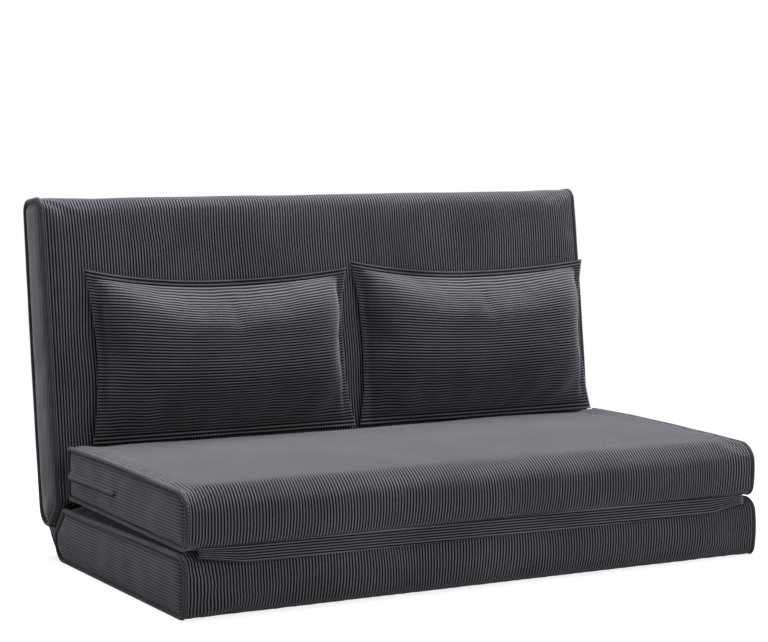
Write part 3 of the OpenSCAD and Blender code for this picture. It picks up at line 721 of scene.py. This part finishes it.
front = sewn_ring(base_corners, cell=band_cell)
cut_out(front, [e for e in front.edges if min(v.co.z for v in e.verts) < band_low
                or max(v.co.z for v in e.verts) > band_high or max(v.co.y for v in e.verts) > 0])
profile = sorted(((v.co.y, v.co.z) for v in front.verts), key=lambda p: p[1])
front.free()
over_fold = ((3.5, -8), (3, -4), (3, 0), (3.5, 4), (5.5, 7))
profile += [(seam_y + out * mm, fold.z + up * mm) for out, up in over_fold]
run = np.cumsum([0.0] + [math.dist(a, b) for a, b in zip(profile, profile[1:])])
band = line_through([(0, y, z) for y, z in profile])
drawn_out(band, band_half)
face_outwards(band, Vector((0, 0, section_t / 2)))
flat = band.verts.layers.float_vector["cloth_place"]
profile_y, profile_z = zip(*profile)
for vert in band.verts:
    at = np.interp(vert.co.z, profile_z, run)
    share = band_end_w + (1 - band_end_w) * smooth_step((band_half - abs(vert.co.x)) / band_taper)
    vert[flat] = (band_cord_step * at + band_cord_slope * vert.co.x, vert.co.x, 0)
    at = run[-1] - (run[-1] - at) * share
    vert.co.y, vert.co.z = np.interp(at, run, profile_y), np.interp(at, run, profile_z)
hinge_band = new_piece("hinge_band", band, band_corduroy)
places = points_of(hinge_band)
rise = np.clip(2 * (places[:, 2] + edge_draw) / (section_t + edge_draw) - 1, -1, 1)
places[:, 1] -= front_bulge * (1 - rise ** 2) * ease_of_ends(places, base_half) + band_t
put_points(hinge_band, places)
thicken(hinge_band, band_t, 0)
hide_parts("front_hinge_strip")
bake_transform(hinge_band, "base", "seat", start=(0, fold.y, fold.z - band_bend),
         end=(0, fold.y, fold.z + band_bend))

# Back section: a taller block of the same make, which leans back on the ratchet hinges at its foot.
# Its cords run up the front, over the top and down the rear.
back_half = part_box("back_cover")[1].x
back_l = 636 * mm
back_top_r = 27 * mm
back_swell = 6 * mm
back_crease = half_back / math.tan(crease_turn)
back_corners = [
    (half_back, mitre_gap, knee_s - mitre_gap),
    (half_back, back_l, back_top_r),
    (-half_back, back_l, back_top_r),
    (-half_back, back_crease + mitre_gap, soft_edge_r),
    (0, mitre_gap, soft_edge_r),
]
back_faces = [(1, 1, 2, back_swell), (1, -1, 2, back_swell)]
# Its dark groove colour is painted shade between the cords.
back_panel_corduroy = corduroy("back_panel_corduroy", (0, 0, math.pi / 2), relief=0.4, crest="#5c5960",
                               painted_groove_shade="#363438")


def foot_of_back(place):
    """The foot of the back's outline, in the crease and the knee."""
    return place.z < back_crease + mitre_gap


sewn_section("back", back_corners, back_half, back_faces, back_panel_corduroy, seeds=(15, 18, 21),
             trapped=foot_of_back, turn=turn_back)

# Knee cloth: one piece of corduroy that wraps the lower rear corner from the base to the back, with a
# gore let in at each side. It rolls under when the back reclines.
knee_t = 2.5 * mm
knee_ripple = (2.2 * mm, 90 * mm)
gore_t = 1.5 * mm
gore_point = 2 * mm
gore_proud = 2 * mm
gore_dip = 5 * mm
gore_stretch = 12 * mm
knee_turn = math.radians(90) - lean
knee_centre = Vector((0, knee_y, knee_r))
knee_end = knee_centre + Vector((0, math.cos(lean), -math.sin(lean))) * knee_r
line = bmesh.new()
foot = line.verts.new((0, knee_y, 0))
bmesh.ops.spin(line, geom=[foot], cent=knee_centre, axis=(1, 0, 0), angle=knee_turn, steps=16)
drawn_out(line, base_half)
face_outwards(line, knee_centre)
knee_cloth = new_piece("knee_cloth", line, wrap_corduroy)
places = points_of(knee_cloth)
outward = (places - np.array(knee_centre)) * np.array([0, 1, 1]) / knee_r
loose = np.sin(np.pi * np.clip(places[:, 2] / knee_end.z, 0, 1))
places += outward * (cloth_ripple(places, *knee_ripple, 40) * loose)[:, None]
put_points(knee_cloth, places)
ribbed(knee_cloth, knee_t)
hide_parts("knee_gusset")
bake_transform(knee_cloth, "base", "back", start=(0, knee_y, 0), end=tuple(knee_end))
apex_gap = mitre_gap - 0.3 * mm
apex = Vector((0, pivot.y - apex_gap, pivot.z + apex_gap * (1 + math.sin(lean)) / math.cos(lean)))
for side, hand in hands:
    gore = line_through([apex - Vector((0, 0, gore_point)), apex - Vector((0, 0, knee_r / 2))])
    bmesh.ops.subdivide_edges(gore, edges=gore.edges[:], cuts=5)
    bmesh.ops.spin(gore, geom=gore.edges[:], cent=apex, axis=(1, 0, 0), angle=knee_turn, steps=16)
    from_centre = apex - knee_centre
    for vert in gore.verts:
        ray = vert.co - apex
        share = ray.length / (knee_r / 2)
        ray.normalize()
        nearing = ray.dot(from_centre)
        reach = -nearing + math.sqrt(nearing ** 2 - from_centre.length_squared + (knee_r - knee_t) ** 2)
        turned = math.atan2(ray.y, -ray.z) / knee_turn
        dip = gore_dip * share * math.sin(math.pi * min(max(turned, 0), 1))
        vert.co = apex + ray * reach * share + Vector((side * (base_half + gore_proud - dip), 0, 0))
    bmesh.ops.recalc_face_normals(gore, faces=gore.faces[:])
    face_outwards(gore, Vector((0, apex.y, apex.z)))
    cut_area = sum(f.calc_area() for f in gore.faces)
    knee_gore = new_piece(f"knee_gore_{hand}", gore, panel_corduroy)
    thicken(knee_gore, gore_t, -1)
    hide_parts("knee_gusset")
    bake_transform(knee_gore, "base", "back", start=tuple(apex - mitre_side * gore_stretch),
             end=tuple(apex + mitre_side * gore_stretch))

# Crease cloth: a tuck of black lining between the base's top and the foot of the back, which opens
# out when the back reclines and keeps dust off the hinges.
tuck_top = section_t / 2 / math.sin(crease_turn) - 3 * mm
tuck_low = 50 * mm
tuck_gap = 2.4 * mm
lining_t = 0.8 * mm


def two_toned(tree, pattern, low, high, depth, sockets):
    """Ends a finish whose pattern shows in its colour, from low to high, and in its relief."""
    shade = add_node(tree, "ShaderNodeValToRGB", {"Fac": pattern})
    for stop, colour in zip(shade.color_ramp.elements, (low, high)):
        stop.color = linear(colour)
    surface(tree, shade, pattern, depth, sockets)


# A dull twill. Its diagonal weave is drawn coarser than it is, at 1.5 mm, so that it shows.
lining_cloth, tree, place = new_finish("black_lining_cloth")
weave = add_node(tree, "ShaderNodeTexWave", {"Vector": place, "Scale": band_scale(1.5 * mm),
                                             "Distortion": 1.0}, bands_direction="DIAGONAL")
two_toned(tree, weave.outputs["Fac"], "#141315", "#2a292c", 0.3 * mm,
          {"Roughness": 0.9, "Specular IOR Level": 0.1, "Sheen Weight": 0.2})
depths = [tuck_top - k * (tuck_top - tuck_low) / 6 for k in range(7)]
bends = [math.pi * k / 6 for k in range(1, 6)]
stations = [(r, -tuck_gap) for r in depths]
stations += [(tuck_low - tuck_gap * math.sin(t), -tuck_gap * math.cos(t)) for t in bends]
stations += [(r, tuck_gap) for r in reversed(depths)]
tuck = line_through([pivot + mitre_way * r + mitre_side * s for r, s in stations])
drawn_out(tuck, base_half)
crease_cloth = new_piece("crease_cloth", tuck, lining_cloth)
thicken(crease_cloth, lining_t, 0)
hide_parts("crease_gusset")
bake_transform(crease_cloth, "base", "back", start=tuple(pivot + mitre_way * tuck_low - mitre_side * tuck_gap),
         end=tuple(pivot + mitre_way * tuck_low + mitre_side * tuck_gap))

# Foam: blocks of cream polyurethane foam inside the covers, the base's and the back's in two layers
# with the steel frame between them. The cover holds each a little smaller than it was cut.
foam_squeeze = 6 * mm
foam_kept = 0.985

# Open cells give a dry, matt skin, a little darker in its pores: painted shade. They are drawn 2 mm wide, to
# show.
foam_pores, tree, place = new_finish("open_cell_polyurethane_foam")
cells = add_node(tree, "ShaderNodeTexVoronoi", {"Vector": place, "Scale": 1 / (2 * mm)})
two_toned(tree, cells, "#b9b08e", "#e4dcc0", 0.8 * mm, {"Roughness": 0.95})


def soft_core(name, node, body, material, squeeze, kept, settle=None):
    """What fills a cover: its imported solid, merged, then pressed in by its cover on every side."""
    core = bmesh.new()
    core.from_mesh(bpy.data.objects[node].data)
    bmesh.ops.remove_doubles(core, verts=core.verts[:], dist=0.02 * mm)
    low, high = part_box(node)
    bmesh.ops.scale(core, vec=(kept, kept, kept), verts=core.verts[:],
                    space=Matrix.Translation(-(low + high) / 2))
    core.normal_update()
    for vert, move in [(v, v.normal * -squeeze) for v in core.verts]:
        vert.co += move
    piece = new_piece(name, core, material)
    piece.data.shade_flat()
    if settle:
        places = points_of(piece)
        settle(places)
        put_points(piece, places)
    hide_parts(node)
    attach(piece, body)


for node, settle in (("base_foam_upper", base_settle), ("base_foam_lower", None),
                     ("seat_foam", seat_settle), ("back_foam_front", None), ("back_foam_rear", None)):
    soft_core(node.replace("foam", "foam_block"), node, node.split("_")[0], foam_pores,
              foam_squeeze, foam_kept, settle)


# Frames and ratchet hinges: black powder-coated tube and pressed steel, zinc-plated rivets and pawls,
# and a blued leaf spring on each pawl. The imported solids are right, so they only get their finishes.
def steel(name, colour, metallic, roughness, grain, depth, stretch=(1, 1, 1)):
    """A steel finish: its colour and gloss, with grain of a real size that is stretched where brushed."""
    material, tree, place = new_finish(name)
    drawn = add_node(tree, "ShaderNodeMapping", {"Vector": place, "Scale": stretch})
    grains = add_node(tree, "ShaderNodeTexNoise", {"Vector": drawn, "Scale": 1 / grain, "Detail": 3.0})
    shade = add_node(tree, "ShaderNodeMapRange", {"Value": grains, "To Min": 0.8, "To Max": 1.2})
    colour = add_node(tree, "ShaderNodeVectorMath", {0: linear(colour)[:3], "Scale": shade},
                      operation="SCALE")
    rough = add_node(tree, "ShaderNodeMapRange", {"Value": grains, "To Min": roughness - 0.08,
                                                  "To Max": roughness + 0.08})
    surface(tree, colour, grains, depth, {"Metallic": metallic, "Roughness": rough}, strength=0.6)
    return material


def give_finish(material, *nodes):
    for node in nodes:
        for slot in bpy.data.objects[node].material_slots:
            slot.material = material


# Baked powder, with a fine orange peel that breaks up its soft gloss.
give_finish(steel("black_powder_coat", "#35373a", 0, 0.45, 1.5 * mm, 0.1 * mm),
            "base_frame", "back_frame", "ratchet_bracket_left", "ratchet_bracket_right", "toothed_arm_left",
            "toothed_arm_right")
# Bright plated zinc, with faint lines along the rivets and up the pawls.
give_finish(steel("zinc_plate", "#b4b8bc", 1, 0.34, 0.6 * mm, 0.02 * mm, (1, 6, 1)),
            "pivot_rivets", "pawl_rivets", "pawl_left", "pawl_right")
# Rolled strip, tempered to a dark blue, with its grain along the leaf.
give_finish(steel("blued_spring_steel", "#3c424c", 1, 0.3, 0.8 * mm, 0.02 * mm, (8, 1, 1)),
            "pawl_spring_left", "pawl_spring_right")

# Zip of the seat cover: a woven black tape with a coil of teeth down its middle, along the seat's rear
# face and round on its left side, half hidden by the cloth beside it. The slider is painted.
zip_low, zip_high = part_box("seat_zip")
zip_z = (zip_low.z + zip_high.z) / 2
zip_pitch = 1.6 * mm
coil_half = 1.7 * mm

# Dull woven tape, with the coil's teeth in relief down its middle, lighter on top with a painted highlight.
zip_tape, tree, place = new_finish("coil_zip_on_woven_tape")
parts = add_node(tree, "ShaderNodeSeparateXYZ", {0: place})
along = add_node(tree, "ShaderNodeMath", {0: parts.outputs["X"], 1: parts.outputs["Y"]}, operation="ADD")
along = add_node(tree, "ShaderNodeCombineXYZ", {"X": along})
teeth = add_node(tree, "ShaderNodeTexWave", {"Vector": along, "Scale": band_scale(zip_pitch)})
off_middle = add_node(tree, "ShaderNodeMath", {0: parts.outputs["Z"], 1: zip_z}, operation="SUBTRACT")
off_middle = add_node(tree, "ShaderNodeMath", {0: off_middle}, operation="ABSOLUTE")
coil = add_node(tree, "ShaderNodeMath", {0: off_middle, 1: coil_half}, operation="LESS_THAN")
height = add_node(tree, "ShaderNodeMath", {0: teeth.outputs["Fac"], 1: coil}, operation="MULTIPLY")
two_toned(tree, height, "#161517", "#3b3a3d", 0.6 * mm, {"Roughness": 0.7, "Specular IOR Level": 0.1})
give_finish(zip_tape, "seat_zip")
give_finish(steel("painted_zip_metal", "#2b2b2d", 0, 0.4, 0.8 * mm, 0.03 * mm), "zip_slider")

# Zip welt: a folded strip of the panel's corduroy above the zip on the seat's left side, sewn down along
# its upper edge and at both ends. The zip runs on below it, so that only a thin dark line of it shows.
welt_front = zip_low.y - 6 * mm
welt_rear = seat_high.y - 16 * mm
welt_low = zip_z + 0.8 * mm
welt_w = 14 * mm
welt_proud = 4.5 * mm
welt_lean = 1.5 * mm
welt_t = 1.6 * mm
slit_front = zip_low.y + 4 * mm
side_tape_w = 12 * mm
side_tape_low = zip_z - 4.2 * mm
side_tape_proud = 1.8 * mm
side_tape_t = 1.2 * mm


def panel_face(y):
    """How far out the left side panel of the seat stands at y, falling away to its rear seam."""
    inset, rise = np.cumsum(panel_steps, axis=0).T
    return seat_half + np.interp(seat_high.y - panel_inset - y, inset, rise)


def welt_places(along, up):
    """The welt's loose lower edge curls out, and its front end is turned in and sewn down."""
    sewn_down = smooth_step(along * 25)
    y = welt_front + along * (welt_rear - welt_front)
    proud = welt_proud * np.sqrt(np.clip(1 - up, 0, 1)) * sewn_down - welt_lean * up
    return -panel_face(y) - proud, y, welt_low + up * welt_w + 2 * mm * (1 - sewn_down)


def side_tape_places(along, up):
    """The tape's lower edge runs up to the zip at the front end of its slit."""
    y = slit_front + along * (welt_rear - slit_front)
    narrowed = (1 - up) * (zip_z - side_tape_low) * (1 - smooth_step(8 * along))
    return -panel_face(y) - side_tape_proud, y, side_tape_low + up * side_tape_w + narrowed


def side_strip(name, rows, material, thickness, places):
    """A strip of cloth on the seat's left side, lying where places says for each share along and up it."""
    strip = bmesh.new()
    bmesh.ops.create_grid(strip, x_segments=60, y_segments=rows, size=0.5)
    grid = np.array([v.co for v in strip.verts]) + 0.5
    for vert, place in zip(strip.verts, np.stack(places(grid[:, 0], grid[:, 1]), 1)):
        vert.co = place
    strip.normal_update()
    face_outwards(strip, Vector((0, 0, zip_z)))
    piece = new_piece(name, strip, material)
    thicken(piece, thickness, -1)
    return piece


zip_welt = side_strip("zip_welt", 10, panel_corduroy, welt_t, welt_places)
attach(zip_welt, "seat")
zip_side_tape = side_strip("zip_side_tape", 1, zip_tape, side_tape_t, side_tape_places)
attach(zip_side_tape, "seat")

# Pillows: two loose lumbar pillows in the same cloth, its cords across, with a flat stitched flange all
# round. Each cover is two panels sewn at the flange, and soft fibre fills it behind that seam.
pillow_w = 564 * mm
pillow_h = 330 * mm
flange_w = 15 * mm
pillow_draw = 18 * mm
pillow_dip = 30 * mm
pillow_front = 70 * mm
pillow_rear = 10 * mm
pillow_cloth = 2.4 * mm
pillow_gap = 10 * mm
pillow_shift = 35 * mm
pillow_foot = 163 * mm
pillow_plane = section_t / 2 + 0.3 * mm + pillow_rear + pillow_cloth
pillow_start_share = 0.9
pillow_pressure = 6.0
pillow_puff = 12 * mm
pillow_shrink = 0.03
flange_flutter = (6 * mm, 90 * mm)
flutter_limit = 2 * mm
fibre_squeeze = 8 * mm
fibre_kept = 0.8
pillow_sag = 7 * mm
sag_reach = 0.45
pillow_slump = 14 * mm
pillow_overhang = 24 * mm
pillow_columns = 70
overhang_reach = 0.12
side_fullness = 9
foot_fullness = 2.5
head_fullness = 5
pillow_corduroy = corduroy("pillow_corduroy", None)
pillow_cells = round(pillow_h / rib / 2)

# White crimped fibres in soft tufts, drawn 6 mm apart so that they show: bright, with painted grey shade in
# shallow hollows.
fibre, tree, place = new_finish("hollow_fibre_filling")
strands = add_node(tree, "ShaderNodeTexNoise", {"Vector": place, "Scale": 1 / (6 * mm), "Detail": 8.0,
                                                "Distortion": 2.0})
two_toned(tree, strands, "#d6d5cf", "#f2f1ec", 2 * mm, {"Roughness": 0.95})


def cut_to_seam(cells, seam_cells, size):
    """Where a panel's grid lines lie along it, as shares, with one of them on each seam of the flange."""
    edge = flange_w / size
    return np.interp(cells[0], [0, seam_cells, cells[1] - seam_cells, cells[1]], [0, edge, 1 - edge, 1])


for side, hand in hands:
    pillow = bmesh.new()
    bmesh.ops.create_grid(pillow, x_segments=pillow_columns, y_segments=pillow_cells, size=0.5)
    grown = bmesh.ops.extrude_face_region(pillow, geom=pillow.faces[:])["geom"]
    front_panel = [g for g in grown if isinstance(g, bmesh.types.BMVert)]
    bmesh.ops.translate(pillow, vec=(0, 0, 1), verts=front_panel)
    bmesh.ops.recalc_face_normals(pillow, faces=pillow.faces[:])
    cushion = new_piece(f"pillow_{hand}_cover", pillow, pillow_corduroy)
    grid = points_of(cushion)
    column, row = (grid[:, 0] + 0.5) * pillow_columns, (grid[:, 1] + 0.5) * pillow_cells
    u, v = cut_to_seam((column, pillow_columns), 2, pillow_w), cut_to_seam((row, pillow_cells), 1, pillow_h)
    front = grid[:, 2] > 0.5
    from_edge = np.minimum(np.minimum(u, 1 - u) * pillow_w, np.minimum(v, 1 - v) * pillow_h) / flange_w
    on_seam = np.abs(from_edge - 1) < 0.01
    in_u = np.clip((u * pillow_w - flange_w) / (pillow_w - 2 * flange_w), 0, 1)
    in_v = np.clip((v * pillow_h - flange_w) / (pillow_h - 2 * flange_w), 0, 1)
    fullness = np.where(in_v < 0.5, foot_fullness, head_fullness)
    fill = (1 - np.abs(2 * in_u - 1) ** side_fullness) * (1 - np.abs(2 * in_v - 1) ** fullness)
    across = (u - 0.5) * (pillow_w - 2 * pillow_draw * (1 - (2 * v - 1) ** 2))
    up = pillow_foot + v * (pillow_h - pillow_dip * (1 - (2 * u - 1) ** 2))
    bulge_u, bulge_v = (np.sin(math.pi * np.clip((1 - np.abs(2 * s - 1)) / overhang_reach, 0, 1))
                        for s in (in_u, in_v))
    across += pillow_overhang * np.sign(2 * in_u - 1) * bulge_u * fill
    up += pillow_overhang * np.sign(2 * in_v - 1) * bulge_v * fill
    up -= pillow_sag * np.clip(1 - v / sag_reach, 0, 1)
    up -= pillow_slump * np.clip(2 * u - 1, 0, 1) ** 2 * v ** 2
    half_flange = pillow_cloth / 2 * np.where(on_seam, 0.2, 1)
    out = np.where(front, pillow_plane + half_flange + pillow_start_share * pillow_front * fill,
                   pillow_plane - half_flange - 0.8 * pillow_rear * fill)
    put_points(cushion, np.stack([across, -out, up], 1))
    cloth_place = cushion.data.attributes.new("cloth_place", "FLOAT_VECTOR", "POINT")
    flat = np.stack([row * 2 * rib, u * pillow_w, np.zeros(len(u))], 1)
    cloth_place.data.foreach_set("vector", flat.ravel())
    puff(cushion, fill <= 1e-6, pillow_pressure, pillow_puff, pillow_shrink)
    calm = bmesh.new()
    calm.from_mesh(cushion.data)
    inner = [v for v, f in zip(calm.verts, fill) if f > 0.02]
    for _ in range(3):
        bmesh.ops.smooth_vert(calm, verts=inner, factor=0.5,
                              use_axis_x=True, use_axis_y=True, use_axis_z=True)
    calm.to_mesh(cushion.data)
    calm.free()
    places = points_of(cushion)
    flutter = cloth_ripple(places + side, *flange_flutter, 30 + side) * np.clip(1 - from_edge, 0, 1)
    places[:, 1] += np.minimum(flutter, flutter_limit)
    places[:, 0] += pillow_shift + side * (pillow_w + pillow_gap) / 2
    put_points(cushion, places)
    cushion.data.transform(turn_back)
    ribbed(cushion, 0)
    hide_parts(f"pillow_{hand}_front", f"pillow_{hand}_back")
    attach(cushion, f"pillow_{hand}")
    soft_core(f"pillow_{hand}_fibre", f"pillow_{hand}_filling", f"pillow_{hand}", fibre,
              fibre_squeeze, fibre_kept)
